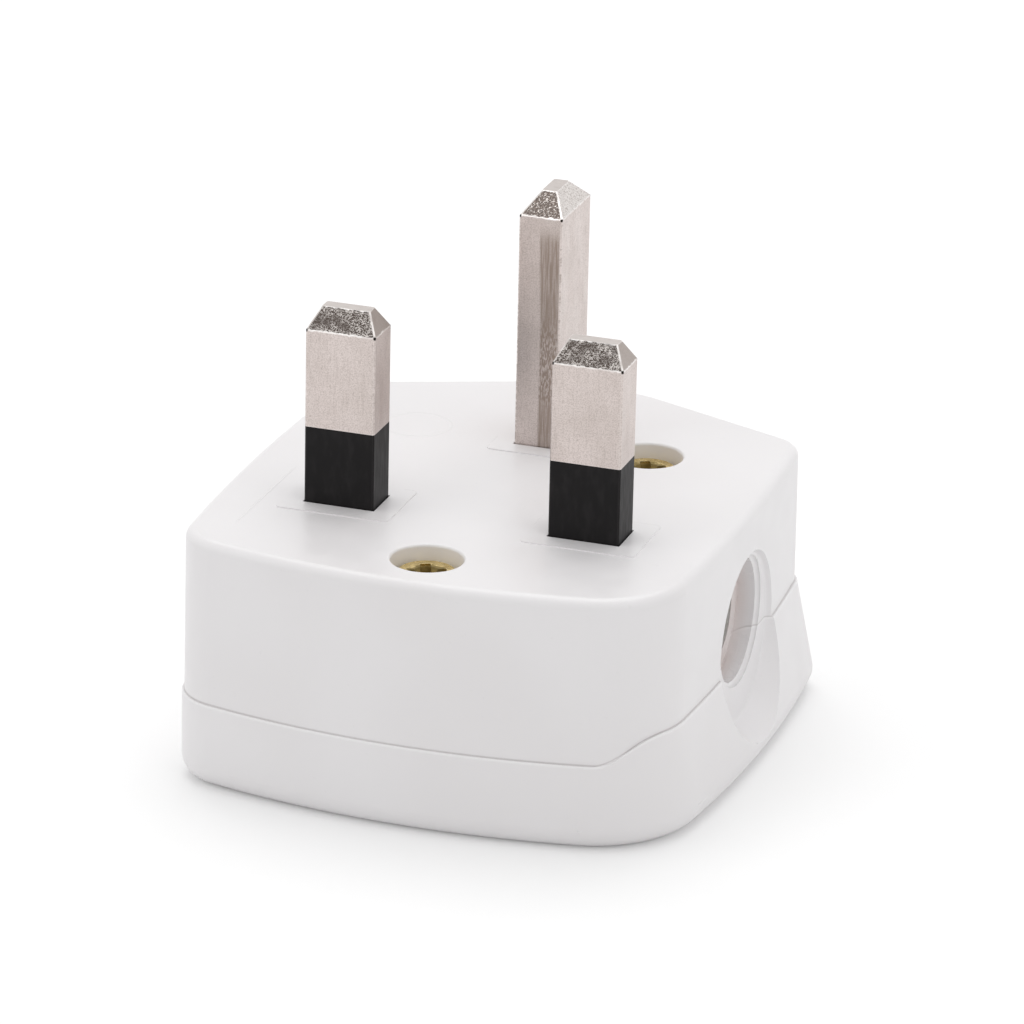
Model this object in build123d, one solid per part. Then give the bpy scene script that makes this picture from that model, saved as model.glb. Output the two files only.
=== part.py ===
from build123d import *
import math
import os

os.makedirs("parts", exist_ok=True)

# A rewirable three-pin plug lying on the back of its cover, pins up, in millimetres.
# The back is at z = 0, and the origin is under the middle of the line and neutral pins.
# The line pin is at -X, the neutral pin at +X, the earth pin at +Y, and the cable leaves at +X.

# Pin layout
pin_spacing = 22.23
earth_distance = 22.23
live_width = 6.35
live_thickness = 3.97
live_length = 17.7
live_bevel = 1.9
live_tip_inset = (1.0, 1.35)
pin_edge = 0.12
earth_width = 7.95
earth_thickness = 3.97
earth_length = 23.2
earth_bevel = 1.8
earth_tip_inset = (1.3, 2.3)
sleeve_length = 7.0
sleeve_wall = 0.6

# Body in plan
half_width = 22.65
side_bow = 0.9
front_reach = 16.5
front_bow = 3.3
earth_to_shoulder = 6.3
gable_angle = 22.5
corner_radius = 4.8
cable_corner_radius = 8.0
shoulder_radius = 3.5
apex_radius = 18.0
cable_side_flare = 2.2
cable_corner_flare = 0.6
cable_corner_growth = 2.5

# Body in height, and the seam that climbs towards the cable side
body_height = 22.8
seam_height = 7.9
seam_rise = 2.3
seam_rise_start_inset = 6.1
seam_rise_end_inset = 1.1
draft = 0.4
wall = 2.3
face_thickness = 2.8
back_thickness = 2.2
face_edge_radius = 0.9
back_edge_radius = 2.0
lip_height = 1.2
lip_thickness = 1.0
fit = 0.12
cover_proud = 0.2
rim_radius = 0.15
pad_margin = 2.0
pad_height = 0.08

# Cable entry, its recess and the cord grip
cable_y = 9.8
cable_depth = 10.0
entry_radius = 5.6
entry_mouth = 0.4
recess_radius = 7.6
recess_drop = 1.75
recess_depth = 0.75
recess_edge = 0.35
recess_slant = 0.5
collar_wall = 1.5
collar_gap = 0.15
grip_gap = 0.6
grip_screw_offset = 8.0
grip_width = 4.0
grip_thickness = 2.4
grip_end = 2.5
grip_cable_radius = 4.0
grip_arch_wall = 1.6
grip_screw_radius = 1.25
saddle_width = 3.0
saddle_crest = 2.7

# Cover screws, their inserts and retainers
front_screw_inset = 6.1
rear_screw_inset = 12.8
rear_screw_drop = 2.2
screw_hole_radius = 3.15
screw_head_radius = 2.85
screw_head_depth = 1.2
screw_hole_edge = 0.25
screw_head_height = 2.0
screw_radius = 1.7
screw_clearance = 0.15
screw_end_gap = 0.3
screw_head_edge = 0.4
cross_span = 3.4
cross_arm = 0.95
cross_depth = 1.0
cross_centre = (1.15, 0.3)
cross_centre_depth = 1.4
cross_turn = 25.0
column_wall = 1.55
boss_radius = 4.3
insert_radius = 2.6
insert_height = 4.0
insert_top_gap = 0.4
retainer_radius = 2.7
retainer_height = 0.6
retainer_room = 1.2

# Terminals and pin heads
pin_gap = 0.1
pocket_rib = 1.2
pocket_gap = 0.15
line_head = (7.6, 6.0)
neutral_head = (5.4, 7.0)
earth_head = (6.4, 9.0)
terminal_height = 8.6
terminal_edge = 0.6
wire_hole_radius = 1.6
wire_hole_depth = 3.8
clamp_radius = 1.45
clamp_gap = 0.05
clamp_head_radius = 2.2
clamp_head_height = 1.6
clamp_length = 4.1
clamp_slot = 0.8

# Fuse, clips and line terminal
fuse_length = 25.4
fuse_radius = 3.175
cap_length = 5.5
cap_wall = 0.35
fuse_bore = 2.0
element_radius = 0.25
clip_sheet = 0.5
clip_width = 5.2
clip_half_base = 2.63
clip_drop = 0.57
clip_flare = (3.1, 4.1)
clip_margin = 0.2
clip_seat = 3.0
rivet_radius = 1.1
rivet_head_radius = 1.7
rivet_head_height = 0.55
line_block = (5.8, 5.0)
line_block_height = 6.1
line_block_gap = 0.7
line_block_inset = 2.5
line_wire_radius = 1.4
line_wire_depth = 2.1
line_clamp_length = 3.4
cradle_places = (0.42, 0.63)
cradle_half_width = 3.9
cradle_crest = 1.8
rib = 1.2
hold_down_rib = 1.0

# Planes and places that follow from the sizes above
line_x = -pin_spacing / 2
neutral_x = pin_spacing / 2
shoulder_y = earth_distance + earth_to_shoulder
inner_face = body_height - face_thickness
seat_z = inner_face - clip_seat
clip_base_z = seat_z - clip_sheet
fuse_z = clip_base_z - clip_drop - fuse_radius
line_block_y = shoulder_y - line_block_inset
fuse_end_y = line_block_y - line_block[1] / 2 - line_block_gap
fuse_start_y = fuse_end_y - fuse_length
lip_top = seam_height + seam_rise + 2 * lip_height
terminal_z = inner_face - terminal_height
cable_z = body_height - cable_depth
recess_z = cable_z - recess_drop
recess_floor_x = half_width - recess_depth
grip_x = half_width - wall - grip_gap - grip_width / 2
front_screw = (0.0, front_screw_inset - front_reach)
rear_screw = (half_width - rear_screw_inset, earth_distance - rear_screw_drop)
insert_top = seam_height - insert_top_gap
screw_top = body_height - screw_head_depth
screw_seat = screw_top - screw_head_height
column_radius = screw_hole_radius + column_wall
far_clip_y = fuse_end_y - clip_margin - clip_width
near_clip_y = fuse_start_y + clip_margin
line_block_z = clip_base_z - line_block_height


# A solid box between two heights, centred in plan
def block(x, y, size_x, size_y, z_low, z_high):
    middle = (z_low + z_high) / 2
    return Pos(x, y, middle) * Box(size_x, size_y, z_high - z_low)


# An upright cylinder between two heights
def post(x, y, radius, z_low, z_high):
    middle = (z_low + z_high) / 2
    return Pos(x, y, middle) * Cylinder(radius, z_high - z_low)


# A cylinder lying along X or along Y
def rod_x(y, z, radius, x_low, x_high):
    middle = (x_low + x_high) / 2
    return Pos(middle, y, z) * Rot(0, 90, 0) * Cylinder(radius, x_high - x_low)


def rod_y(x, z, radius, y_low, y_high):
    middle = (y_low + y_high) / 2
    return Pos(x, middle, z) * Rot(90, 0, 0) * Cylinder(radius, y_high - y_low)


# Plan of the body, moved in from its wall: bowed front and sides and a gable behind the earth pin.
# With the flare, from 0 to 1, the cable side leans out and its front corner grows rounder.
def body_plan(inset=0.0, flare=0.0):
    corner_lean = flare * cable_corner_flare
    side_lean = flare * cable_side_flare
    cable_radius = cable_corner_radius + flare * cable_corner_growth
    slope = math.tan(math.radians(gable_angle))
    gable_inset = inset / math.cos(math.radians(gable_angle))
    corner_x = half_width - side_bow - inset
    front_y = front_bow - front_reach + inset
    back_y = shoulder_y + slope * inset - gable_inset
    side_y = (front_y + back_y) / 2
    left_front = (-corner_x, front_y)
    right_front = (corner_x + corner_lean, front_y)
    left_shoulder = (-corner_x, back_y)
    right_shoulder = (corner_x + side_lean, back_y)
    apex = (0, back_y + slope * corner_x)
    edges = Curve() + [
        ThreePointArc(left_front, (0, inset - front_reach), right_front),
        ThreePointArc(right_front, (half_width - inset + side_lean, side_y), right_shoulder),
        Line(right_shoulder, apex),
        Line(apex, left_shoulder),
        ThreePointArc(left_shoulder, (inset - half_width, side_y), left_front),
    ]
    plan = make_face(edges)
    left_corner, right_corner = plan.vertices().sort_by(Axis.Y)[:2].sort_by(Axis.X)
    plan = fillet(left_corner, corner_radius - inset)
    right_corner = plan.vertices().sort_by(Axis.Y)[:3].sort_by(Axis.X)[-1]
    plan = fillet(right_corner, cable_radius - inset)
    plan = fillet(plan.vertices().sort_by(Axis.Y)[-3:-1], shoulder_radius - inset)
    return fillet(plan.vertices().sort_by(Axis.Y)[-1], apex_radius - inset)


# The plan moved in from the wall and drafted towards the pin face, from the seam up
def drafted_prism(inset, z_high):
    lean = (z_high - seam_height) * math.tan(math.radians(draft))
    foot = Pos(0, 0, seam_height) * body_plan(inset)
    return loft([foot, Pos(0, 0, z_high) * body_plan(inset + lean)], ruled=True)


# The plan moved in from the wall, as an upright prism
def inner_prism(inset, z_low, z_high):
    return extrude(Pos(0, 0, z_low) * body_plan(inset), z_high - z_low)


# Everything under the seam, which is level and then climbs to the cable side
def under_seam(lift=0.0):
    reach = 2 * shoulder_y
    low = seam_height + lift
    high = low + seam_rise
    start = half_width - seam_rise_start_inset
    end = half_width - seam_rise_end_inset
    climb = Spline((start, low), (end, high), tangents=((1, 0), (1, 0)))
    outline = Curve() + [
        Line((-reach, low), (start, low)),
        climb,
        Line((end, high), (reach, high)),
        Line((reach, high), (reach, -reach)),
        Line((reach, -reach), (-reach, -reach)),
        Line((-reach, -reach), (-reach, low)),
    ]
    return extrude(Plane.XZ * make_face(outline), reach, both=True)


# Room in the base for the cover's lip, which stands up inside the base's wall
def lip_room():
    outer_inset = wall - lip_thickness - fit
    room = inner_prism(outer_inset, seam_height, lip_top) - inner_prism(wall + fit, seam_height, lip_top)
    return room & under_seam(lip_height + fit)


# The bore of the cable entry with its rounded mouth, and the flat recess round it
def entry_bore():
    mouth_x = recess_floor_x - entry_mouth
    start_x = grip_x + grip_width / 2 + collar_gap / 2
    wide = entry_radius + entry_mouth
    curve = RadiusArc((mouth_x, entry_radius), (recess_floor_x, wide), entry_mouth)
    outline = Curve() + [
        Line((start_x, 0), (start_x, entry_radius)),
        Line((start_x, entry_radius), (mouth_x, entry_radius)),
        curve,
        Line((recess_floor_x, wide), (recess_floor_x, 0)),
        Line((recess_floor_x, 0), (start_x, 0)),
    ]
    turned = revolve(make_face(outline), Axis.X)
    return Pos(0, cable_y, cable_z) * turned


def entry_recess():
    length = recess_depth + 2 * cable_side_flare
    dish = Cone(recess_radius, recess_radius + recess_slant * length, length)
    floor_edge = dish.edges().filter_by(GeomType.CIRCLE).sort_by(Axis.Z)[0]
    dish = Rot(0, 90, 0) * fillet(floor_edge, recess_edge)
    return Pos(recess_floor_x + length / 2, cable_y, recess_z) * dish


# The collar that carries the entry inwards to the cord grip
def entry_collar():
    start_x = grip_x + grip_width / 2 + collar_gap
    return rod_x(cable_y, cable_z, entry_radius + collar_wall, start_x, recess_floor_x)


# A rib frame that locates a pin's head on the inner face
def pocket(x, y, head, height):
    outer_x = head[0] + 2 * (pocket_gap + pocket_rib)
    outer_y = head[1] + 2 * (pocket_gap + pocket_rib)
    low = inner_face - height
    frame = block(x, y, outer_x, outer_y, low, inner_face)
    room = block(x, y, head[0] + 2 * pocket_gap, head[1] + 2 * pocket_gap, low, inner_face)
    return frame - room


# A screw column in the base, from the seam to the pin face
def screw_column(place):
    return post(*place, column_radius, seam_height, inner_face)


def screw_column_bore(place):
    bore = post(*place, screw_hole_radius, screw_seat, body_height)
    bore += post(*place, screw_radius + screw_clearance, seam_height, screw_seat)
    bore += post(*place, retainer_radius + screw_clearance, seam_height, seam_height + retainer_room)
    return bore


# The saddle under the cable and the two posts that take the grip's screws
def cord_saddle():
    crest = cable_z + saddle_crest
    saddle = block(grip_x, cable_y, saddle_width, 2 * grip_screw_offset, crest, inner_face)
    saddle -= rod_x(cable_y, cable_z, grip_cable_radius, grip_x - grip_width, grip_x + grip_width)
    for side in (-1, 1):
        y = cable_y + side * grip_screw_offset
        saddle += post(grip_x, y, grip_width / 2, cable_z, inner_face)
    return saddle


def cord_saddle_bores():
    bores = Part()
    for side in (-1, 1):
        y = cable_y + side * grip_screw_offset
        depth = cable_z + clamp_length + 2 * fit
        bores += post(grip_x, y, grip_screw_radius + clamp_gap, cable_z, depth)
    return bores


# Ribs that cradle the fuse's tube, and the ledge under the far clip and the line terminal
def fuse_supports():
    supports = Part()
    for share in cradle_places:
        y = fuse_start_y + share * fuse_length
        supports += block(line_x, y, 2 * cradle_half_width, rib, fuse_z + cradle_crest, inner_face)
    supports -= rod_y(line_x, fuse_z, fuse_radius + fit, fuse_start_y, fuse_end_y)
    ledge_end = line_block_y + line_block[1] / 2
    ledge_y = (far_clip_y + ledge_end) / 2
    supports += block(line_x, ledge_y, line_block[0], ledge_end - far_clip_y, seat_z, inner_face)
    spigot_room = post(line_x, line_block_y, rivet_head_radius, seat_z, seat_z + rivet_head_height + fit)
    return supports - spigot_room


# The partition between the fuse and the cores
def partition():
    x = line_x + cradle_half_width + pocket_rib / 2
    y_low = line_head[1] / 2
    y_high = far_clip_y
    return block(x, (y_low + y_high) / 2, rib, y_high - y_low, fuse_z, inner_face)


def pin_slot(x, y, size_x, size_y):
    low = inner_face
    return block(x, y, size_x + 2 * pin_gap, size_y + 2 * pin_gap, low, body_height + pad_height)


def pin_pad(x, y, size_x, size_y):
    pad = block(x, y, size_x + 2 * pad_margin, size_y + 2 * pad_margin, inner_face, body_height + pad_height)
    return fillet(pad.edges().filter_by(Axis.Z), pad_margin / 4)


def make_base():
    shell = drafted_prism(0, body_height)
    rim = shell.faces().sort_by(Axis.Z)[-1].edges()
    shell = fillet(rim, face_edge_radius)
    shell -= drafted_prism(wall, inner_face)
    shell -= under_seam()
    shell += pin_pad(line_x, 0, live_width, live_thickness)
    shell += pin_pad(neutral_x, 0, live_width, live_thickness)
    shell += pin_pad(0, earth_distance, earth_thickness, earth_width)
    inside = screw_column(front_screw) + screw_column(rear_screw) + cord_saddle()
    inside += pocket(line_x, 0, line_head, clip_seat)
    inside += pocket(neutral_x, 0, neutral_head, clip_seat)
    inside += pocket(0, earth_distance, earth_head, clip_seat)
    inside += fuse_supports() + partition() + (entry_collar() - under_seam())
    inside &= inner_prism(wall / 2, seam_height, body_height)
    shell += inside
    shell -= lip_room()
    shell -= screw_column_bore(front_screw) + screw_column_bore(rear_screw)
    hole_edges = shell.edges().filter_by(GeomType.CIRCLE)
    hole_edges = hole_edges.filter_by_position(Axis.Z, body_height, body_height)
    hole_edges = hole_edges.filter_by(lambda edge: abs(edge.radius - screw_hole_radius) < fit)
    shell = fillet(hole_edges, screw_hole_edge)
    shell -= pin_slot(line_x, 0, live_width, live_thickness)
    shell -= pin_slot(neutral_x, 0, live_width, live_thickness)
    shell -= pin_slot(0, earth_distance, earth_thickness, earth_width)
    shell -= cord_saddle_bores()
    return shell - entry_bore() - entry_recess()


# The cover's form, flared towards the back on the cable side, moved in from its wall
def cover_loft(inset):
    back = body_plan(inset, 1.0)
    front = body_plan(inset)
    middle_z = seam_height + seam_rise
    return loft([back, Pos(0, 0, middle_z) * front, Pos(0, 0, lip_top) * front], ruled=True)


# Bosses for the inserts and ribs that hold the pin heads and the fuse down
def cover_inside():
    inside = post(*front_screw, boss_radius, 0, seam_height)
    inside += post(*rear_screw, boss_radius, 0, seam_height)
    neutral_rib_y = (hold_down_rib - neutral_head[1]) / 2
    inside += block(neutral_x, neutral_rib_y, neutral_head[0] - rib, hold_down_rib, 0, terminal_z)
    earth_rib_y = earth_distance + (earth_head[1] - hold_down_rib) / 2
    inside += block(0, earth_rib_y, earth_head[0] - rib, hold_down_rib, 0, terminal_z)
    fuse_rib_top = fuse_z - fuse_radius - fit
    for y in (near_clip_y + clip_width / 2, far_clip_y + clip_width / 2):
        inside += block(line_x, y, clip_half_base, hold_down_rib, 0, fuse_rib_top)
    inside += entry_collar() & under_seam()
    return inside & inner_prism(wall / 2, back_thickness / 2, body_height)


# The cover's outer edge along the seam
def rim_edges(shell):
    return shell.edges().filter_by(lambda edge: edge.center().Z > seam_height - rim_radius
                                   and edge.bounding_box().size.Z < seam_rise + rim_radius)


def make_cover():
    shell = cover_loft(-cover_proud)
    shell = fillet(shell.faces().sort_by(Axis.Z)[0].edges(), back_edge_radius)
    shell &= under_seam()
    shell = fillet(rim_edges(shell), rim_radius)
    shell += inner_prism(wall - lip_thickness, back_thickness, lip_top) & under_seam(lip_height)
    reach = 4 * half_width
    shell -= cover_loft(wall) & block(0, 0, reach, reach, back_thickness, lip_top)
    shell += cover_inside()
    for place in (front_screw, rear_screw):
        shell -= post(*place, insert_radius, insert_top - insert_height, seam_height)
    return shell - entry_bore() - entry_recess()


# A rectangle with its corners taken off, as each pin has in section
def pin_section(size_x, size_y):
    section = Rectangle(size_x, size_y)
    return chamfer(section.vertices(), pin_edge)


# The bevelled blade of a pin above a given height
def blade(x, y, size_x, size_y, z_low, length, bevel, inset):
    shoulder = body_height + length - bevel
    foot = pin_section(size_x, size_y)
    tip = Pos(0, 0, bevel) * pin_section(size_x - 2 * inset[0], size_y - 2 * inset[1])
    pin = Pos(x, y, z_low) * extrude(foot, shoulder - z_low)
    return pin + Pos(x, y, shoulder) * loft([foot, tip], ruled=True)


# A live pin with the narrow neck that its sleeve fills
def live_pin(x):
    sleeve_top = body_height + sleeve_length
    neck_x = live_width - 2 * sleeve_wall
    neck_y = live_thickness - 2 * sleeve_wall
    pin = blade(x, 0, live_width, live_thickness, sleeve_top, live_length, live_bevel, live_tip_inset)
    return pin + block(x, 0, neck_x, neck_y, inner_face, sleeve_top)


def live_sleeve(x):
    sleeve_top = body_height + sleeve_length
    section = pin_section(live_width, live_thickness)
    outer = Pos(x, 0, inner_face) * extrude(section, sleeve_top - inner_face)
    neck_x = live_width - 2 * sleeve_wall
    neck_y = live_thickness - 2 * sleeve_wall
    return outer - block(x, 0, neck_x, neck_y, inner_face, sleeve_top)


# A pillar terminal with a wire hole along Y and a clamp screw from the open side
def pillar_head(x, y, head):
    pillar = block(x, y, head[0], head[1], terminal_z, inner_face)
    pillar = fillet(pillar.edges().filter_by(Axis.Z), terminal_edge)
    wire_z = inner_face - wire_hole_depth
    pillar -= rod_y(x, wire_z, wire_hole_radius, y - head[1], y + head[1])
    return pillar - post(x, y, clamp_radius + clamp_gap, terminal_z, wire_z)


def line_pin():
    head = block(line_x, 0, *line_head, seat_z, inner_face)
    head = fillet(head.edges().filter_by(Axis.Z), terminal_edge)
    rivet = post(line_x, 0, rivet_radius, clip_base_z, seat_z)
    rivet += post(line_x, 0, rivet_head_radius, clip_base_z - rivet_head_height, clip_base_z)
    return live_pin(line_x) + head + rivet


def neutral_pin():
    return live_pin(neutral_x) + pillar_head(neutral_x, 0, neutral_head)


def earth_pin():
    pin = blade(0, earth_distance, earth_thickness, earth_width, inner_face,
                earth_length, earth_bevel, earth_tip_inset)
    return pin + pillar_head(0, earth_distance, earth_head)


# A slotted screw whose head seats on a terminal or on the grip
def clamp_screw(x, y, z_seat, length, radius, head_radius):
    screw = post(x, y, radius, z_seat, z_seat + length)
    screw += post(x, y, head_radius, z_seat - clamp_head_height, z_seat)
    slot_low = z_seat - clamp_head_height
    return screw - block(x, y, 2 * head_radius, clamp_slot, slot_low, slot_low + clamp_slot)


def terminal_screw(x, y, z_seat, length):
    return clamp_screw(x, y, z_seat, length, clamp_radius, clamp_head_radius)


# A springy clip that hugs a fuse cap, open towards the cover, on a flat strip that carries it
def fuse_clip(y_low, strip_low, strip_high):
    radius = fuse_radius + clip_sheet / 2
    rise = math.sqrt(radius**2 - clip_half_base**2)
    base_z = clip_base_z + clip_sheet / 2 - fuse_z
    path = Curve() + [Line((-clip_half_base, base_z), (clip_half_base, base_z))]
    for side in (-1, 1):
        foot = (side * clip_half_base, base_z)
        shoulder = (side * clip_half_base, rise)
        waist = (side * clip_half_base, -rise)
        path += Line(foot, shoulder)
        path += ThreePointArc(shoulder, (side * radius, 0), waist)
        path += Line(waist, (side * clip_flare[0], -clip_flare[1]))
    spring = trace(path, clip_sheet)
    spring = Pos(line_x, y_low, fuse_z) * extrude(Plane.XZ * spring, -clip_width)
    strip_y = (strip_low + strip_high) / 2
    strip_width = 2 * clip_half_base + clip_sheet
    return spring + block(line_x, strip_y, strip_width, strip_high - strip_low, clip_base_z, seat_z)


def near_clip():
    strip_low = min(near_clip_y, -rivet_head_radius)
    strip_high = max(near_clip_y + clip_width, rivet_head_radius)
    clip = fuse_clip(near_clip_y, strip_low, strip_high)
    return clip - post(line_x, 0, rivet_radius, clip_base_z, seat_z)


def far_clip():
    clip = fuse_clip(far_clip_y, far_clip_y, line_block_y + line_block[1] / 2)
    return clip - post(line_x, line_block_y, rivet_radius, clip_base_z, seat_z)


def line_terminal():
    body = block(line_x, line_block_y, *line_block, line_block_z, clip_base_z)
    body = fillet(body.edges().filter_by(Axis.Z), terminal_edge)
    wire_z = clip_base_z - line_wire_depth
    reach = line_block[0]
    body -= rod_x(line_block_y, wire_z, line_wire_radius, line_x - reach, line_x + reach)
    body -= post(line_x, line_block_y, clamp_radius + clamp_gap, line_block_z, wire_z)
    body += post(line_x, line_block_y, rivet_radius, clip_base_z, seat_z)
    return body + post(line_x, line_block_y, rivet_head_radius - fit, seat_z, seat_z + rivet_head_height)


def fuse_cap(y_low, y_high, closed_y):
    cap = rod_y(line_x, fuse_z, fuse_radius, y_low, y_high)
    inner_low = y_low + (cap_wall if closed_y == y_low else 0)
    inner_high = y_high - (cap_wall if closed_y == y_high else 0)
    return cap - rod_y(line_x, fuse_z, fuse_radius - cap_wall, inner_low, inner_high)


def fuse_tube():
    low = fuse_start_y + cap_wall
    high = fuse_end_y - cap_wall
    tube = rod_y(line_x, fuse_z, fuse_radius - cap_wall, low, high)
    return tube - rod_y(line_x, fuse_z, fuse_bore, low, high)


# The grip: a bar with an arch over the cable and a hole at each end
def cord_grip():
    bar_low = cable_z - grip_thickness
    length = 2 * (grip_screw_offset + grip_end)
    bar = block(grip_x, cable_y, grip_width, length, bar_low, cable_z)
    bar = fillet(bar.edges().filter_by(Axis.Z), terminal_edge)
    arch_radius = grip_cable_radius + grip_arch_wall
    x_low = grip_x - grip_width / 2
    x_high = grip_x + grip_width / 2
    arch = rod_x(cable_y, cable_z, arch_radius, x_low, x_high)
    arch &= block(grip_x, cable_y, grip_width, length, cable_z - arch_radius, cable_z)
    bar += arch
    bar -= rod_x(cable_y, cable_z, grip_cable_radius, x_low, x_high)
    for side in (-1, 1):
        y = cable_y + side * grip_screw_offset
        bar -= post(grip_x, y, grip_screw_radius + fit, bar_low, cable_z)
    return bar


def grip_screw(side):
    y = cable_y + side * grip_screw_offset
    length = grip_thickness + clamp_length
    return clamp_screw(grip_x, y, cable_z - grip_thickness, length, grip_screw_radius, grip_width / 2)


# A cover screw with a cross recess in its head, driven from the pin face
def cover_screw(place):
    screw = post(*place, screw_head_radius, screw_seat, screw_top)
    top_edge = screw.edges().filter_by(GeomType.CIRCLE).sort_by(Axis.Z)[-1]
    screw = chamfer(top_edge, screw_head_edge)
    screw += post(*place, screw_radius, insert_top - insert_height + screw_end_gap, screw_seat)
    centre_z = screw_top - cross_centre_depth / 2
    cross = Pos(0, 0, centre_z) * Cone(cross_centre[1], cross_centre[0], cross_centre_depth)
    cross += block(0, 0, cross_span, cross_arm, screw_top - cross_depth, screw_top)
    cross += block(0, 0, cross_arm, cross_span, screw_top - cross_depth, screw_top)
    return screw - Pos(*place, 0) * Rot(0, 0, cross_turn) * cross


def cover_insert(place):
    insert = post(*place, insert_radius, insert_top - insert_height, insert_top)
    return insert - post(*place, screw_radius, insert_top - insert_height, insert_top)


def screw_retainer(place):
    low = seam_height + fit
    ring = post(*place, retainer_radius, low, low + retainer_height)
    return ring - post(*place, screw_radius, low, low + retainer_height)


nodes = {
    "base": make_base(),
    "cover": make_cover(),
    "line_pin": line_pin(),
    "line_pin_sleeve": live_sleeve(line_x),
    "neutral_pin": neutral_pin(),
    "neutral_pin_sleeve": live_sleeve(neutral_x),
    "earth_pin": earth_pin(),
    "fuse_clip_pin_side": near_clip(),
    "fuse_clip_terminal_side": far_clip(),
    "line_terminal": line_terminal(),
    "fuse_tube": fuse_tube(),
    "fuse_cap_pin_side": fuse_cap(fuse_start_y, fuse_start_y + cap_length, fuse_start_y),
    "fuse_cap_terminal_side": fuse_cap(fuse_end_y - cap_length, fuse_end_y, fuse_end_y),
    "fuse_element": rod_y(line_x, fuse_z, element_radius, fuse_start_y + cap_wall, fuse_end_y - cap_wall),
    "line_terminal_screw": terminal_screw(line_x, line_block_y, line_block_z, line_clamp_length),
    "neutral_terminal_screw": terminal_screw(neutral_x, 0, terminal_z, clamp_length),
    "earth_terminal_screw": terminal_screw(0, earth_distance, terminal_z, clamp_length),
    "cord_grip": cord_grip(),
    "cord_grip_screw_front": grip_screw(-1),
    "cord_grip_screw_rear": grip_screw(1),
    "cover_screw_front": cover_screw(front_screw),
    "cover_screw_rear": cover_screw(rear_screw),
    "cover_insert_front": cover_insert(front_screw),
    "cover_insert_rear": cover_insert(rear_screw),
    "screw_retainer_front": screw_retainer(front_screw),
    "screw_retainer_rear": screw_retainer(rear_screw),
}

for name, shape in nodes.items():
    export_step(shape, f"parts/{name}.step")
    print(name, round(shape.volume, 1), "mm3")
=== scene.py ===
import math

import bmesh
import bpy
from mathutils import Matrix, Vector


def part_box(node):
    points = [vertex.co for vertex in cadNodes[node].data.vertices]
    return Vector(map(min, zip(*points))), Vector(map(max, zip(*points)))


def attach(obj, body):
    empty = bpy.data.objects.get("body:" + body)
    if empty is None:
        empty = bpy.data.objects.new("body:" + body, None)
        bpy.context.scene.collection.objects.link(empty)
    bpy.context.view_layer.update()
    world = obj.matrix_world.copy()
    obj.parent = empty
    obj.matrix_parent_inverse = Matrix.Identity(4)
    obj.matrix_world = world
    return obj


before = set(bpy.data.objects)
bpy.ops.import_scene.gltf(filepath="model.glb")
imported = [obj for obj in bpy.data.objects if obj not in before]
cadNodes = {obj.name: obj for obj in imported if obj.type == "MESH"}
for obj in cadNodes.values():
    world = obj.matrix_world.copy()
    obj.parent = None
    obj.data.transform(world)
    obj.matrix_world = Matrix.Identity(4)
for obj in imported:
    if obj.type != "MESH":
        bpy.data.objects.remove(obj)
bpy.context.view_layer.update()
print("frame loaded with", len(cadNodes), "nodes")

pinFace = 22.8  # mm from the floor to the flat face that the pins stand out of

view = {
    "azimuth": 18.42,        # degrees round from the front, towards the cable side
    "elevation": 21.2,
    "roll": -1.25,
    "distance": 553.0,       # mm from the middle of the pin face
    "aside": (-3.82, 0.39),  # mm that this point lies right of and below the picture's middle
    "focalPixels": 6424.8,
    "pictureWidth": 1024,    # pixels
    "sensorWidth": 36,       # mm
    "clipStart": 0.01,       # metres
}


def placeCamera(view):
    around, up = math.radians(view["azimuth"]), math.radians(view["elevation"])
    level = math.cos(up)
    back = Vector((math.sin(around) * level, -math.cos(around) * level, math.sin(up)))
    right = (-back).cross(Vector((0, 0, 1))).normalized()
    down = (-back).cross(right)
    tilt = math.radians(view["roll"])
    across = math.cos(tilt) * right + math.sin(tilt) * down
    below = math.cos(tilt) * down - math.sin(tilt) * right
    aside, lower = view["aside"]
    spot = view["distance"] * back - aside * across - lower * below
    spot.z += pinFace
    turn = Matrix((across, -below, back)).transposed().to_4x4()
    lens = bpy.data.cameras.new("photoLens")
    lens.sensor_width = view["sensorWidth"]
    lens.lens = view["focalPixels"] * view["sensorWidth"] / view["pictureWidth"]
    lens.clip_start = view["clipStart"]
    camera = bpy.data.objects.new("photoCamera", lens)
    bpy.context.scene.collection.objects.link(camera)
    camera.matrix_world = Matrix.Translation(spot / 1000) @ turn
    bpy.context.scene.camera = camera


placeCamera(view)
print("camera placed")

studio = {
    "ambient": 0.63,                  # strength of the world on matt surfaces
    "backdrop": 1.0,                  # what the camera and shiny surfaces see
    "floorSide": 3.0,                 # metres
    "floorColour": (0.88, 0.88, 0.88),
    "floorRoughness": 0.9,
    "floorGloss": 0.1,
    "floorGlow": 0.125,               # lifts the floor to the white of the backdrop
    "aim": (0, 0.006, 0.015),         # what the lamps point at, metres
    "lamps": {                        # place, size in metres, watts
        "overheadSoftbox": ((-0.10, 0.34, 1.0), 0.95, 4.65),
        "leftSoftbox": ((-0.9, -0.6, 0.6), 1.1, 2.3),
        "rightSoftbox": ((1.0, -0.3, 0.5), 1.0, 1.7),
    },
}


# 1 for a ray that comes from the camera, a shiny surface or a clear one
def shinyOrSeen(tree):
    path = tree.nodes.new("ShaderNodeLightPath")
    first = tree.nodes.new("ShaderNodeMath")
    first.operation = "MAXIMUM"
    second = tree.nodes.new("ShaderNodeMath")
    second.operation = "MAXIMUM"
    tree.links.new(path.outputs["Is Camera Ray"], first.inputs[0])
    tree.links.new(path.outputs["Is Glossy Ray"], first.inputs[1])
    tree.links.new(first.outputs[0], second.inputs[0])
    tree.links.new(path.outputs["Is Transmission Ray"], second.inputs[1])
    return second.outputs[0]


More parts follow.
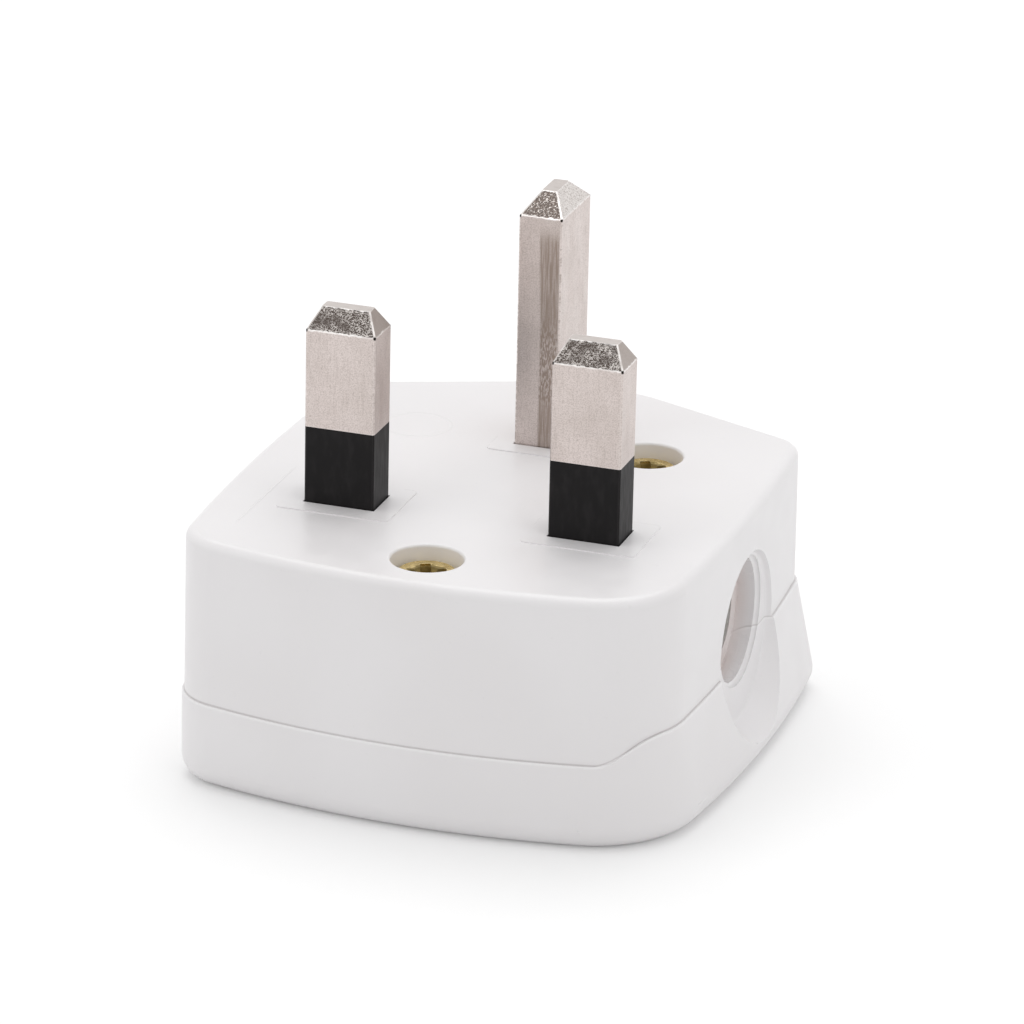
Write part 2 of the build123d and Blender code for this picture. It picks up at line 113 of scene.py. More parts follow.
def lightWorld(studio):
    world = bpy.data.worlds.new("studioWorld")
    world.use_nodes = True
    tree = world.node_tree
    strength = tree.nodes.new("ShaderNodeMapRange")
    strength.inputs["To Min"].default_value = studio["ambient"]
    strength.inputs["To Max"].default_value = studio["backdrop"]
    tree.links.new(shinyOrSeen(tree), strength.inputs["Value"])
    background = tree.nodes["Background"]
    background.inputs["Color"].default_value = (1, 1, 1, 1)
    tree.links.new(strength.outputs["Result"], background.inputs["Strength"])
    bpy.context.scene.world = world


def hangLamps(studio):
    for name, (place, size, watts) in studio["lamps"].items():
        lamp = bpy.data.lights.new(name, "AREA")
        lamp.shape = "SQUARE"
        lamp.size = size
        lamp.energy = watts
        box = bpy.data.objects.new(name, lamp)
        box.location = place
        sight = Vector(studio["aim"]) - Vector(place)
        box.rotation_euler = sight.to_track_quat("-Z", "Y").to_euler()
        bpy.context.scene.collection.objects.link(box)


def layFloor(studio):
    half = studio["floorSide"] / 2
    corners = [(-half, -half, 0), (half, -half, 0), (half, half, 0), (-half, half, 0)]
    mesh = bpy.data.meshes.new("floor")
    mesh.from_pydata(corners, [], [(0, 1, 2, 3)])
    floor = bpy.data.objects.new("floor", mesh)
    bpy.context.scene.collection.objects.link(floor)
    paint = bpy.data.materials.new("paleFloor")
    paint.use_nodes = True
    tree = paint.node_tree
    shader = tree.nodes["Principled BSDF"]
    shader.inputs["Base Color"].default_value = (*studio["floorColour"], 1)
    shader.inputs["Roughness"].default_value = studio["floorRoughness"]
    shader.inputs["Specular IOR Level"].default_value = studio["floorGloss"]
    shader.inputs["Emission Color"].default_value = (1, 1, 1, 1)
    glow = tree.nodes.new("ShaderNodeMath")
    glow.operation = "MULTIPLY"
    glow.inputs[1].default_value = studio["floorGlow"]
    tree.links.new(shinyOrSeen(tree), glow.inputs[0])
    tree.links.new(glow.outputs[0], shader.inputs["Emission Strength"])
    mesh.materials.append(paint)


lightWorld(studio)
hangLamps(studio)
layFloor(studio)
print("studio lit")

most = (0.3, 0.7)  # the values that most of a noise lies between


class Recipe:
    # a node material with its pattern measured in millimetres of the frame
    def __init__(self, name):
        self.material = bpy.data.materials.new(name)
        self.material.use_nodes = True
        self.tree = self.material.node_tree
        self.shader = self.tree.nodes["Principled BSDF"]
        place = self.add("ShaderNodeTexCoord").outputs["Object"]
        scaled = self.add("ShaderNodeVectorMath", operation="SCALE")
        scaled.inputs["Scale"].default_value = 1000
        self.join(place, scaled.inputs[0])
        self.millimetres = scaled.outputs[0]
        self.x, self.y, self.z = self.split(self.millimetres)

    def add(self, kind, **settings):
        node = self.tree.nodes.new(kind)
        for key, value in settings.items():
            setattr(node, key, value)
        return node

    def join(self, output, socket):
        self.tree.links.new(output, socket)

    def split(self, vector):
        node = self.add("ShaderNodeSeparateXYZ")
        self.join(vector, node.inputs[0])
        return node.outputs

    def feed(self, value, socket):
        if isinstance(value, bpy.types.NodeSocket):
            self.join(value, socket)
        elif isinstance(value, tuple) and len(value) == 3:
            socket.default_value = (*value, 1.0)
        else:
            socket.default_value = value

    def reckon(self, operation, first, second=0.0, third=0.0):
        node = self.add("ShaderNodeMath", operation=operation)
        for value, socket in zip((first, second, third), node.inputs):
            self.feed(value, socket)
        return node.outputs[0]

    def plus(self, first, second):
        return self.reckon("ADD", first, second)

    def minus(self, first, second):
        return self.reckon("SUBTRACT", first, second)

    def times(self, first, second):
        return self.reckon("MULTIPLY", first, second)

    def larger(self, first, second):
        return self.reckon("MAXIMUM", first, second)

    def over(self, value, limit):
        return self.reckon("GREATER_THAN", value, limit)

    def under(self, value, limit):
        return self.reckon("LESS_THAN", value, limit)

    def off(self, value, middle):
        return self.reckon("ABSOLUTE", self.minus(value, middle))

    # the distance that two or three distances at right angles make
    def reach(self, *parts):
        squares = [self.times(part, part) for part in parts]
        total = squares[0]
        for square in squares[1:]:
            total = self.plus(total, square)
        return self.reckon("SQRT", total)

    def ramp(self, value, low, high, start=0.0, end=1.0):
        node = self.add("ShaderNodeMapRange", interpolation_type="SMOOTHSTEP")
        settings = {
            "Value": value, "From Min": low, "From Max": high, "To Min": start, "To Max": end,
        }
        for key, setting in settings.items():
            self.feed(setting, node.inputs[key])
        return node.outputs["Result"]

    def fade(self, value, low, high):
        return self.ramp(value, low, high, 1.0, 0.0)

    # noise of one grain size in mm, drawn out along an axis by stretch and turned by three angles
    def noise(self, grain, stretch=(1, 1, 1), detail=3.0, shift=0.0, turn=(0, 0, 0)):
        sized = self.add("ShaderNodeMapping", vector_type="TEXTURE")
        sized.inputs["Location"].default_value = (shift, shift, shift)
        sized.inputs["Rotation"].default_value = turn
        sized.inputs["Scale"].default_value = [grain * s for s in stretch]
        self.join(self.millimetres, sized.inputs["Vector"])
        texture = self.add("ShaderNodeTexNoise")
        texture.inputs["Scale"].default_value = 1.0
        texture.inputs["Detail"].default_value = detail
        self.join(sized.outputs[0], texture.inputs["Vector"])
        return texture.outputs["Fac"]

    def blend(self, share, first, second):
        node = self.add("ShaderNodeMix", data_type="RGBA")
        for key, value in (("Factor", share), ("A", first), ("B", second)):
            self.feed(value, node.inputs[key])
        return node.outputs["Result"]

    # a bump whose height is in mm
    def bump(self, height, depth, under=None):
        node = self.add("ShaderNodeBump")
        node.inputs["Distance"].default_value = depth / 1000
        self.join(height, node.inputs["Height"])
        if under:
            self.join(under, node.inputs["Normal"])
        return node.outputs["Normal"]

    # how near a point is to an edge of the piece, 0 on flat ground and 1 on the edge
    def edgeNearness(self, reach):
        rounded = self.add("ShaderNodeBevel", samples=4)
        rounded.inputs["Radius"].default_value = reach / 1000
        flat = self.add("ShaderNodeNewGeometry").outputs["Normal"]
        match = self.add("ShaderNodeVectorMath", operation="DOT_PRODUCT")
        self.join(rounded.outputs["Normal"], match.inputs[0])
        self.join(flat, match.inputs[1])
        return self.fade(match.outputs["Value"], 0.90, 0.998)

    def apply(self, **values):
        for key, value in values.items():
            self.feed(value, self.shader.inputs[key.replace("_", " ")])


# the white shells, lengths in mm
bodyLook = {
    "colour": (0.828, 0.812, 0.819),
    "shade": (0.806, 0.787, 0.792),     # slightly warmer, in broad soft patches
    "patch": 14.0,
    "speckColour": (0.62, 0.60, 0.58),
    "speck": 0.5,
    "speckShare": 0.10,
    "refraction": 1.5,
    "roughness": (0.30, 0.42),
    "sheen": 3.0,                       # size of the patches of one roughness
    "edge": 0.35,
    "edgePolish": 0.06,
    "grain": 0.35,                      # the mould's fine texture
    "grainDepth": 0.0022,
    "wave": 6.0,
    "waveDepth": 0.012,
    "markDepth": 0.035,
    "ejectorRing": ((-11.6, 19.7), 3.0, 0.22),    # middle, radius and width of a faint ring
    "leftLine": (-18.0, (-9.5, 6.5), 0.16),       # x, the reach in y and the width of a faint line
    "rearLine": (5.3, (25.0, 30.0), 0.16),
    "lineEnd": 1.5,                     # how far a faint line takes to fade out
    "seam": (7.9, 2.3, 16.55, 21.55),   # height, climb, and the x where the climb starts and ends
    # painted shadow in the parting line, then a painted highlight on the cover's rim under it
    "seamShadow": (0.560, 0.535, 0.530),
    "seamShadowShare": 0.75,
    "seamHighlight": (0.900, 0.890, 0.893),
    "seamHighlightShare": 0.6,
    "entryShade": (0.735, 0.668, 0.648),   # painted shade, a warmer tone deep in the cable entry
    "entryShadeX": (19.8, 21.3),           # x over which it fades out towards the mouth
    "entryShadeReach": (5.9, 6.1),         # and how far it reaches from the entry's axis
}
entryLining = {
    "centre": (9.8, 12.8),              # y and z of the cable entry's axis
    "profile": [                        # x and radius
        (21.48, 5.594), (20.60, 5.545), (19.86, 5.54),
        (19.84, 4.05), (19.78, 4.05), (19.78, 5.592),
    ],
    "steps": 128,
}


def faintLine(recipe, look, name):
    x, (start, end), width = look[name]
    line = recipe.fade(recipe.off(recipe.x, x), 0.0, width)
    rising = recipe.ramp(recipe.y, start, start + look["lineEnd"])
    falling = recipe.fade(recipe.y, end - look["lineEnd"], end)
    return recipe.times(line, recipe.times(rising, falling))


def faintRing(recipe, look):
    centre, radius, width = look["ejectorRing"]
    x, y = (recipe.minus(part, at) for part, at in zip((recipe.x, recipe.y), centre))
    return recipe.fade(recipe.off(recipe.reach(x, y), radius), 0.0, width)


# painted shadow in the parting line, and a painted highlight on the rim of the cover under it
def seamLines(recipe, look):
    level, climb, start, end = look["seam"]
    seam = recipe.ramp(recipe.x, start, end, level, level + climb)
    above = recipe.minus(recipe.z, seam)
    shadow = recipe.ramp(above, 0.0, 0.20, look["seamShadowShare"], 0.0)
    shadow = recipe.times(shadow, recipe.ramp(above, -0.02, 0.02))
    rim = recipe.times(recipe.ramp(above, -0.30, -0.10), recipe.fade(above, -0.04, 0.0))
    return shadow, recipe.times(rim, look["seamHighlightShare"])


# painted shade deep in the cable entry, warm and broken up by a cloud
def entryShade(recipe, look):
    centre = entryLining["centre"]
    y, z = (recipe.minus(part, at) for part, at in zip((recipe.y, recipe.z), centre))
    cloud = recipe.ramp(recipe.noise(2.0, detail=3.0, shift=31.0), *most, 0.7, 1.0)
    deep = recipe.times(recipe.fade(recipe.x, *look["entryShadeX"]), cloud)
    deep = recipe.times(deep, recipe.over(recipe.x, 0.0))
    return recipe.times(deep, recipe.fade(recipe.reach(y, z), *look["entryShadeReach"]))


def mouldedWhite(look):
    recipe = Recipe("mouldedWhite")
    patches = recipe.ramp(recipe.noise(look["patch"], detail=1.0), 0.35, 0.7)
    colour = recipe.blend(patches, look["colour"], look["shade"])
    specks = recipe.noise(look["speck"], detail=2.0, shift=7.0)
    specks = recipe.ramp(specks, 0.70, 0.78, 0.0, look["speckShare"])
    colour = recipe.blend(specks, colour, look["speckColour"])
    shadow, rim = seamLines(recipe, look)
    # painted shadow in the parting line
    colour = recipe.blend(shadow, colour, look["seamShadow"])
    # painted highlight on the cover's rim under the parting line
    colour = recipe.blend(rim, colour, look["seamHighlight"])
    # painted shade deep in the cable entry
    colour = recipe.blend(entryShade(recipe, look), colour, look["entryShade"])
    sheen = recipe.noise(look["sheen"], detail=4.0, shift=3.0)
    rough = recipe.ramp(sheen, *most, *look["roughness"])
    polish = recipe.times(recipe.edgeNearness(look["edge"]), look["edgePolish"])
    marks = recipe.plus(faintLine(recipe, look, "leftLine"), faintLine(recipe, look, "rearLine"))
    marks = recipe.plus(marks, faintRing(recipe, look))
    marks = recipe.times(marks, recipe.ramp(recipe.z, pinFace - 0.1, pinFace - 0.02))
    normal = recipe.bump(recipe.noise(look["wave"], detail=1.0, shift=11.0), look["waveDepth"])
    normal = recipe.bump(recipe.noise(look["grain"]), look["grainDepth"], normal)
    normal = recipe.bump(marks, look["markDepth"], normal)
    recipe.apply(Base_Color=colour, Roughness=recipe.minus(rough, polish))
    recipe.apply(IOR=look["refraction"], Normal=normal)
    return recipe.material


# a thin smooth skin inside the cable entry, over the joints of the shells
def lineEntry(lining):
    y, z = lining["centre"]
    rings, steps = lining["profile"], lining["steps"]
    points = []
    for step in range(steps):
        turn = 2 * math.pi * step / steps
        for x, reach in rings:
            point = (x, y + reach * math.cos(turn), z + reach * math.sin(turn))
            points.append([part / 1000 for part in point])
    faces = []
    for step in range(steps):
        here, following = step * len(rings), (step + 1) % steps * len(rings)
        for ring in range(len(rings)):
            after = (ring + 1) % len(rings)
            faces.append((here + ring, following + ring, following + after, here + after))
    mesh = bpy.data.meshes.new("entry_lining")
    mesh.from_pydata(points, [], faces)
    solid = bmesh.new()
    solid.from_mesh(mesh)
    bmesh.ops.recalc_face_normals(solid, faces=solid.faces)
    solid.to_mesh(mesh)
    solid.free()
    piece = bpy.data.objects.new("entry_lining", mesh)
    bpy.context.scene.collection.objects.link(piece)
    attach(piece, "root")
    return piece


lining = lineEntry(entryLining)
print("cable entry lined")


# the nickel plated pins, lengths in mm
pinLook = {
    "colour": (0.705, 0.628, 0.600),
    "dull": (0.640, 0.568, 0.538),
    "cloud": 3.5,
    "worn": (0.300, 0.245, 0.215),
    "pores": (0.11, 0.36),               # the grain and the share of each sign of wear
    "weave": (0.13, 0.10),
    "streaks": (0.16, 0.16),
    "specks": (0.35, 0.35),
    "roughness": (0.30, 0.42),
    "grainDepth": 0.004,
    "rippleDepth": 0.010,
    # painted highlight along the pins' edges, with its share and reach
    "edge": (0.900, 0.870, 0.850),
    "edgeShare": 0.35,
    "edgeReach": 0.13,
    "rim": (0.930, 0.905, 0.885),        # painted highlight lines round the bevels
    "rimShare": (0.30, 0.80),
    "dashShare": 0.2,                    # the broken dark line down a pin's edges
    "dashShareEarth": 0.5,
    "pit": (0.020, 0.016, 0.014),        # the small dents at the bevels' lower corners
    "pitReach": (0.15, 0.24),
    "sheared": (0.090, 0.074, 0.066),    # the coarse long bevels
    "shearedBright": (0.640, 0.600, 0.570),
    "shearedGrain": 0.17,
    "bevelSide": (0.430, 0.378, 0.350),
    "bevelSideEarth": (0.745, 0.705, 0.680),
    "brush": 0.09,
    "top": (0.505, 0.468, 0.448),
    "topRougher": 0.15,
    "band": (0.325, 0.262, 0.225),       # the rubbed band on the earth pin's front face
    "bandAcross": (-0.05, 1.95),         # from the pin's middle
    "bandUp": (19.0, 21.0),              # above the pin face, where it fades out
    "rippled": (3.5, 5.5, 9.0, 13.0),    # above the pin face, where its ripples come and go
    "stain": (0.430, 0.335, 0.235),
    "stainUp": (2.4, 4.2),
}
pinForms = {
    # middle, half size, and the heights where the bevels start and end, in mm
    "line_pin": ((-11.115, 0.0), (3.175, 1.985), (38.6, 40.5)),
    "neutral_pin": ((11.115, 0.0), (3.175, 1.985), (38.6, 40.5)),
    "earth_pin": ((0.0, 22.23), (1.985, 3.975), (44.2, 46.0)),
}


class PinPlating(Recipe):
    def __init__(self, nodeName, look):
        super().__init__(nodeName.title().replace("_", "") + "Plating")
        self.look = look
        self.earth = nodeName == "earth_pin"
        (midX, self.midY), (halfX, halfY), (self.shoulder, self.tip) = pinForms[nodeName]
        self.overX = self.minus(self.off(self.x, midX), halfX)
        self.overY = self.minus(self.off(self.y, self.midY), halfY)
        self.overZ = self.minus(self.z, self.shoulder)
        self.height = self.minus(self.z, pinFace)
        facing = self.split(self.add("ShaderNodeNewGeometry").outputs["True Normal"])
        acrossX, acrossY = (self.reckon("ABSOLUTE", part) for part in facing[:2])
        self.broad = self.over(acrossY, acrossX)
        self.facingFront = self.under(facing[1], -0.7)
        self.facingSide = self.over(facing[0], 0.7)
        self.onTop = self.over(facing[2], 0.97)
        self.onFacet = self.times(self.over(acrossX, 0.3), self.over(acrossY, 0.3))
        self.pores = self.noise(look["pores"][0], detail=2.0, shift=9.0)
        self.streaks = self.noise(look["streaks"][0], stretch=(1, 1, 9))

    # the worn tone where a noise is high
    def wear(self, colour, noise, low, high, share):
        return self.blend(self.ramp(noise, low, high, 0.0, share), colour, self.look["worn"])

    def plate(self):
        look = self.look
        cloud = self.ramp(self.noise(look["cloud"], detail=2.0, shift=4.0), *most)
        colour = self.blend(cloud, look["colour"], look["dull"])
        colour = self.wear(colour, self.pores, 0.42, 0.66, look["pores"][1])
        weave = self.noise(look["weave"][0], stretch=(7, 7, 1), detail=2.0, shift=2.0)
        colour = self.wear(colour, weave, 0.48, 0.72, look["weave"][1])
        colour = self.wear(colour, self.streaks, 0.48, 0.72, look["streaks"][1])
        specks = self.noise(look["specks"][0], detail=2.0, shift=13.0)
        return self.wear(colour, specks, 0.66, 0.74, look["specks"][1])

    # bright threads on a dark ground, as a sheared face has
    def shearedFace(self):
        look = self.look
        threads = self.noise(look["shearedGrain"], (1.3, 1.3, 0.9), detail=2.0, shift=1.0)
        threads = self.fade(self.off(threads, 0.5), 0.004, 0.070)
        clouds = self.ramp(self.noise(1.2, detail=2.0, shift=3.0), 0.30, 0.60, 0.25, 1.0)
        return self.blend(self.times(threads, clouds), look["sheared"], look["shearedBright"])

    def brushed(self, ground, turn, share):
        lines = self.noise(self.look["brush"], stretch=(1, 1, 14), shift=15.0, turn=turn)
        return self.wear(ground, lines, 0.48, 0.64, share)

    def bevels(self):
        look = self.look
        if self.earth:
            front = self.brushed(look["sheared"], (0, 0.6, 0), 0.5)
            glints = self.noise(0.10, (1, 1, 10), detail=2.0, shift=18.0, turn=(0, 0.7, 0))
            glints = self.ramp(glints, 0.54, 0.66, 0.0, 0.8)
            front = self.blend(glints, front, look["shearedBright"])
            side = self.brushed(look["bevelSideEarth"], (0.5, 0, 0), 0.7)
        else:
            front = self.shearedFace()
            side = self.brushed(look["bevelSide"], (0.3, 0, 0), 0.3)
        both = self.blend(self.broad, side, front)
        return self.blend(self.onTop, both, self.brushed(look["top"], (0, 1.45, 0), 0.25))

    # the long rubbed band of the earth pin
    def rubbed(self, colour):
        left, right = self.look["bandAcross"]
        wander = self.noise(2.5, (1, 1, 4), shift=2.0)
        across = self.plus(self.x, self.ramp(wander, *most, -0.10, 0.10))
        inside = self.times(self.ramp(across, left, left + 0.28),
                            self.fade(across, right - 0.2, right))
        inside = self.times(inside, self.fade(self.height, *self.look["bandUp"]))
        lines = self.noise(0.10, (1, 1, 26), shift=5.0)
        lines = self.ramp(lines, 0.35, 0.62, 0.55, 1.0)
        waves = self.noise(0.13, (0.8, 1, 3.2), detail=2.0, shift=6.0)
        waves = self.ramp(waves, 0.38, 0.60, 0.25, 1.2)
        bottom, full, waning, top = self.look["rippled"]
        middle = self.times(self.ramp(self.height, bottom, full),
                            self.fade(self.height, waning, top))
        pattern = self.add("ShaderNodeMix", data_type="FLOAT")
        for value, socket in ((middle, 0), (lines, 2), (waves, 3)):
            self.feed(value, pattern.inputs[socket])
        share = self.times(self.times(inside, pattern.outputs[0]), self.facingFront)
        return self.blend(share, colour, self.look["band"])

    # the stain on the earth pin's side, by its foot
    def stained(self, colour):
        share = self.times(self.facingSide, self.ramp(self.overY, -1.6, -0.1, 0.0, 0.8))
        share = self.times(share, self.fade(self.height, *self.look["stainUp"]))
        share = self.times(share, self.under(self.y, self.midY))
        return self.blend(share, colour, self.look["stain"])

    # painted highlights along the edges and round the bevels, then dark dashes down the edges and
    # dark dents at the bevels' corners
    def edges(self, colour):
        look = self.look
        # painted highlight along the edges
        nearness = self.times(self.edgeNearness(look["edgeReach"]), look["edgeShare"])
        colour = self.blend(nearness, colour, look["edge"])
        # painted highlight lines at the shoulder, at the tip and on the corner facets, broken up
        # by a noise
        wobble = self.ramp(self.noise(0.5, detail=2.0, shift=25.0), *most, -0.05, 0.05)
        fromShoulder = self.reckon("ABSOLUTE", self.plus(self.overZ, wobble))
        fromTip = self.plus(self.minus(self.tip, self.z), wobble)
        upper = self.minus(self.fade(fromTip, 0.02, 0.09), self.onTop)
        rim = self.larger(self.fade(fromShoulder, 0.03, 0.11), upper)
        facet = self.times(self.onFacet, self.ramp(self.overZ, -0.2, 0.1, 0.0, 0.9))
        rim = self.larger(rim, facet)
        worn = self.noise(0.6, shift=27.0)
        worn = self.ramp(worn, 0.35, 0.65, *look["rimShare"])
        colour = self.blend(self.times(rim, worn), colour, look["rim"])
        fromEdge = self.reach(self.overX, self.overY)
        onEdge = self.fade(self.times(fromEdge, fromEdge), 0.010, 0.030)
        dashes = self.noise(0.22, (5, 5, 1), detail=1.0, shift=21.0)
        dashShare = look["dashShareEarth"] if self.earth else look["dashShare"]
        dashed = self.times(onEdge, self.ramp(dashes, 0.52, 0.60, 0.0, dashShare))
        dashed = self.times(dashed, self.fade(self.overZ, -0.3, 0.0))
        colour = self.blend(dashed, colour, look["worn"])
        fromCorner = self.reach(self.overX, self.overY, self.overZ)
        return self.blend(self.fade(fromCorner, *look["pitReach"]), colour, look["pit"])

    def finished(self):
        look = self.look
        colour = self.plate()
        if self.earth:
            colour = self.stained(self.rubbed(colour))
        bevelled = self.ramp(self.overZ, 0.0, 0.06)
        colour = self.edges(self.blend(bevelled, colour, self.bevels()))
        rough = self.ramp(self.noise(1.5, (1, 1, 3), shift=6.0), *most, *look["roughness"])
        rough = self.plus(rough, self.times(self.onTop, look["topRougher"]))
        ripples = self.noise(0.20, (1.8, 1, 0.9), detail=2.0, shift=6.0)
        normal = self.bump(self.streaks, look["grainDepth"])
        normal = self.bump(self.pores, look["grainDepth"], normal)
        normal = self.bump(self.times(ripples, self.facingSide), look["rippleDepth"], normal)
        self.apply(Base_Color=colour, Metallic=1.0, Roughness=rough, Normal=normal)
        return self.material


# the pins' black sleeves, lengths in mm
sleeveLook = {
    "colour": (0.0046, 0.0038, 0.0042),
    "dusty": (0.0165, 0.0145, 0.0152),
    "dust": 0.7,
    "dustShare": (0.05, 0.60),
    "scuff": 0.35,
    "edge": (0.030, 0.028, 0.028),
    "edgeReach": 0.12,
    "edgeShare": 0.7,
    "roughness": (0.42, 0.52),
    "gloss": 0.19,
    "refraction": 1.5,
    "grain": 0.12,
    "grainDepth": 0.002,
}


def mouldedBlack(look):
    recipe = Recipe("mouldedBlack")
    dust = recipe.noise(look["dust"], stretch=(1, 1, 2.5), detail=2.0)
    dust = recipe.ramp(dust, 0.40, 0.8, *look["dustShare"])
    colour = recipe.blend(dust, look["colour"], look["dusty"])
    edge = recipe.times(recipe.edgeNearness(look["edgeReach"]), look["edgeShare"])
    colour = recipe.blend(edge, colour, look["edge"])
    scuffs = recipe.noise(look["scuff"], stretch=(1, 1, 6), shift=8.0)
    normal = recipe.bump(recipe.noise(look["grain"], detail=2.0), look["grainDepth"])
    normal = recipe.bump(scuffs, look["grainDepth"], normal)
    recipe.apply(Base_Color=colour, Roughness=recipe.ramp(scuffs, *most, *look["roughness"]))
    recipe.apply(IOR=look["refraction"], Specular_IOR_Level=look["gloss"], Normal=normal)
    return recipe.material


# the cover screws, lengths in mm
screwLook = {
    "colour": (0.800, 0.640, 0.300),
    "dull": (0.520, 0.380, 0.130),
    "tarnish": 0.9,
    "tarnishShare": 0.8,
    # painted highlight along the head's edges, with its reach and share
    "edge": (0.960, 0.870, 0.580),
    "edgeReach": 0.15,
    "edgeShare": 0.7,
    "headShade": (0.150, 0.104, 0.030),    # painted shade over the middle of the head, round the driver's recess
    "headShadeEdge": (1.45, 1.80),         # from the middle
    "headShadeShare": 0.85,
    "wobble": 0.25,                     # how far the painted shade's edge wanders
    "grime": (0.300, 0.215, 0.070),     # painted shade in the driver's recess
    "grimeShare": (0.75, 1.0),
    "recess": (1.85, 21.5),             # the recess's reach, and the height that it starts under
    "recessFade": 0.3,
    "gloss": 0.5,
    "mattLoss": 0.45,                   # gloss that the painted shade loses
    "mattRougher": 0.4,
    "roughness": (0.16, 0.32),
    "toolStep": 0.22,                   # between the turning marks
    "toolDepth": 0.004,
    "grain": 0.15,
    "grainDepth": 0.003,
}


def turnedBrass(name, look, centre):
    recipe = Recipe(name)
    x, y = (recipe.minus(part, at) for part, at in zip((recipe.x, recipe.y), centre))
    reach = recipe.reach(x, y)
    tarnish = recipe.noise(look["tarnish"], detail=5.0)
    tarnish = recipe.ramp(tarnish, 0.40, 0.72, 0.0, look["tarnishShare"])
    colour = recipe.blend(tarnish, look["colour"], look["dull"])
    # painted highlight along the head's edges
    edge = recipe.times(recipe.edgeNearness(look["edgeReach"]), look["edgeShare"])
    colour = recipe.blend(edge, colour, look["edge"])
    # painted shade over the middle of the head, round the driver's recess
    wobble = recipe.noise(0.55, detail=2.0, shift=17.0)
    wobble = recipe.ramp(wobble, *most, -look["wobble"], look["wobble"])
    outward = recipe.plus(reach, wobble)
    headShade = recipe.ramp(outward, *look["headShadeEdge"], look["headShadeShare"], 0.0)
    colour = recipe.blend(headShade, colour, look["headShade"])
    # painted shade in the driver's recess, stronger where a noise is high
    reachOut, top = look["recess"]
    deep = recipe.times(recipe.under(reach, reachOut),
                        recipe.fade(recipe.z, top - look["recessFade"], top))
    grime = recipe.noise(0.35, detail=4.0, shift=12.0)
    grime = recipe.ramp(grime, 0.25, 0.75, *look["grimeShare"])
    colour = recipe.blend(recipe.times(deep, grime), colour, look["grime"])
    matt = recipe.larger(deep, headShade)
    gloss = recipe.reckon("MULTIPLY_ADD", matt, -look["mattLoss"], look["gloss"])
    rough = recipe.ramp(recipe.noise(0.3, shift=3.0), *most, *look["roughness"])
    rough = recipe.reckon("MULTIPLY_ADD", matt, look["mattRougher"], rough)
    rings = recipe.reckon("SINE", recipe.times(reach, 2 * math.pi / look["toolStep"]))
    normal = recipe.bump(recipe.noise(look["grain"], shift=6.0), look["grainDepth"])
    normal = recipe.bump(rings, look["toolDepth"], normal)
    recipe.apply(Base_Color=colour, Metallic=recipe.minus(1.0, matt))
    recipe.apply(Specular_IOR_Level=gloss, Roughness=rough, Normal=normal)
    return recipe.material


# the pieces inside the body
insideLooks = {
    "springBronze": {
        "colours": ((0.62, 0.40, 0.19), (0.44, 0.26, 0.11)), "metallic": 1.0,
        "roughness": (0.22, 0.38), "grain": 0.4, "stretch": (6, 1, 6), "depth": 0.004,
    },
    "machinedBrass": {
        "colours": ((0.70, 0.50, 0.20), (0.50, 0.33, 0.11)), "metallic": 1.0,
        "roughness": (0.20, 0.36), "grain": 0.3, "stretch": (1, 1, 8), "depth": 0.004,
    },
    "bareCeramic": {
        "colours": ((0.80, 0.77, 0.70), (0.70, 0.66, 0.58)), "metallic": 0.0,
        "roughness": (0.55, 0.75), "grain": 0.5, "stretch": (1, 1, 1), "depth": 0.010,
    },
    "platedCap": {
        "colours": ((0.66, 0.64, 0.61), (0.52, 0.49, 0.46)), "metallic": 1.0,
        "roughness": (0.16, 0.30), "grain": 0.5, "stretch": (1, 8, 1), "depth": 0.003,
    },
    "tinnedWire": {
        "colours": ((0.70, 0.62, 0.54), (0.50, 0.42, 0.34)), "metallic": 1.0,
        "roughness": (0.25, 0.40), "grain": 0.2, "stretch": (1, 6, 1), "depth": 0.003,
    },
    "zincSteel": {
        "colours": ((0.56, 0.56, 0.57), (0.42, 0.41, 0.38)), "metallic": 1.0,
        "roughness": (0.28, 0.44), "grain": 0.4, "stretch": (1, 1, 5), "depth": 0.005,
    },
    "mattNylon": {
        "colours": ((0.72, 0.71, 0.68), (0.64, 0.62, 0.58)), "metallic": 0.0,
        "roughness": (0.45, 0.60), "grain": 0.4, "stretch": (1, 1, 1), "depth": 0.006,
    },
    "redFibre": {
        "colours": ((0.34, 0.080, 0.050), (0.22, 0.045, 0.030)), "metallic": 0.0,
        "roughness": (0.60, 0.80), "grain": 0.25, "stretch": (3, 1, 1), "depth": 0.012,
    },
}
insideEdge = {
    "reach": 0.12,     # mm
    "share": 0.5,
    "lighter": 1.25,
}


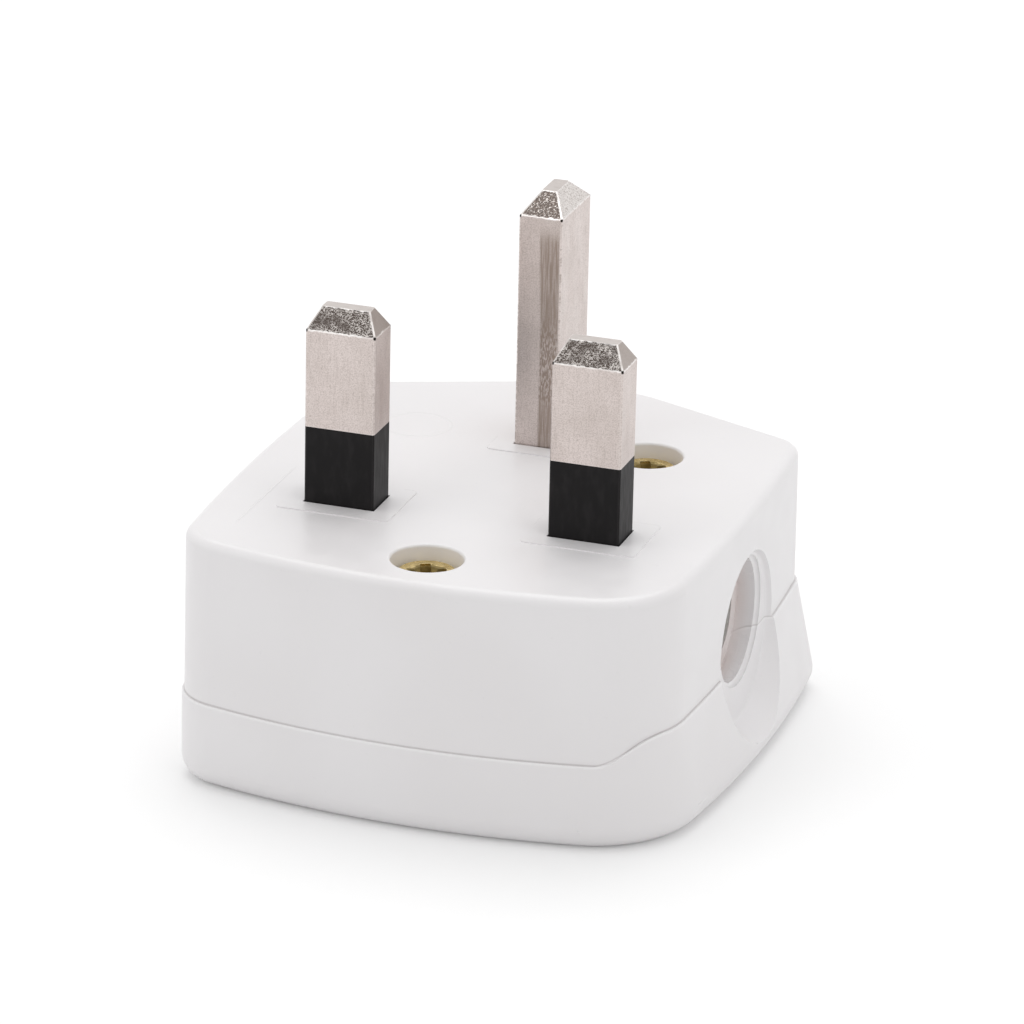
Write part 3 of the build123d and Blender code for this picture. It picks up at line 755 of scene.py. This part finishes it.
def insideFinish(name, look):
    recipe = Recipe(name)
    colour, second = look["colours"]
    pattern = recipe.noise(look["grain"], look["stretch"], detail=5.0)
    cloud = recipe.noise(4 * look["grain"], shift=5.0)
    mixed = recipe.blend(recipe.ramp(cloud, 0.35, 0.75), colour, second)
    mixed = recipe.blend(recipe.ramp(pattern, 0.55, 0.80, 0.0, 0.6), mixed, second)
    bright = tuple(min(1.0, insideEdge["lighter"] * part) for part in colour)
    edge = recipe.times(recipe.edgeNearness(insideEdge["reach"]), insideEdge["share"])
    recipe.apply(Base_Color=recipe.blend(edge, mixed, bright), Metallic=look["metallic"])
    recipe.apply(Roughness=recipe.ramp(pattern, *most, *look["roughness"]))
    recipe.apply(Normal=recipe.bump(pattern, look["depth"]))
    return recipe.material


def finish(nodeName, material):
    slots = cadNodes[nodeName].data.materials
    slots.clear()
    slots.append(material)


# where a node's middle lies in x and y, mm
def middle(nodeName):
    low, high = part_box(nodeName)
    return tuple(500 * (low + high).xy)


finishes = {name: insideFinish(name, look) for name, look in insideLooks.items()}
finishes["mouldedWhite"] = mouldedWhite(bodyLook)
finishes["mouldedBlack"] = mouldedBlack(sleeveLook)
for nodeName in pinForms:
    finishes[nodeName] = PinPlating(nodeName, pinLook).finished()
for end in ("front", "rear"):
    name = end + "ScrewBrass"
    finishes[name] = turnedBrass(name, screwLook, middle("cover_screw_" + end))

wearing = {
    "mouldedWhite": ["base", "cover"],
    "line_pin": ["line_pin"],
    "neutral_pin": ["neutral_pin"],
    "earth_pin": ["earth_pin"],
    "mouldedBlack": ["line_pin_sleeve", "neutral_pin_sleeve"],
    "frontScrewBrass": ["cover_screw_front"],
    "rearScrewBrass": ["cover_screw_rear"],
    "springBronze": ["fuse_clip_pin_side", "fuse_clip_terminal_side"],
    "machinedBrass": ["line_terminal", "cover_insert_front", "cover_insert_rear"],
    "bareCeramic": ["fuse_tube"],
    "platedCap": ["fuse_cap_pin_side", "fuse_cap_terminal_side"],
    "tinnedWire": ["fuse_element"],
    "zincSteel": [
        "line_terminal_screw", "neutral_terminal_screw", "earth_terminal_screw",
        "cord_grip_screw_front", "cord_grip_screw_rear",
    ],
    "mattNylon": ["cord_grip"],
    "redFibre": ["screw_retainer_front", "screw_retainer_rear"],
}
for material, wearers in wearing.items():
    for nodeName in wearers:
        finish(nodeName, finishes[material])
lining.data.materials.append(finishes["mouldedWhite"])
print("finishes on", sum(len(wearers) for wearers in wearing.values()), "nodes")

bpy.context.scene.view_settings.view_transform = "Standard"
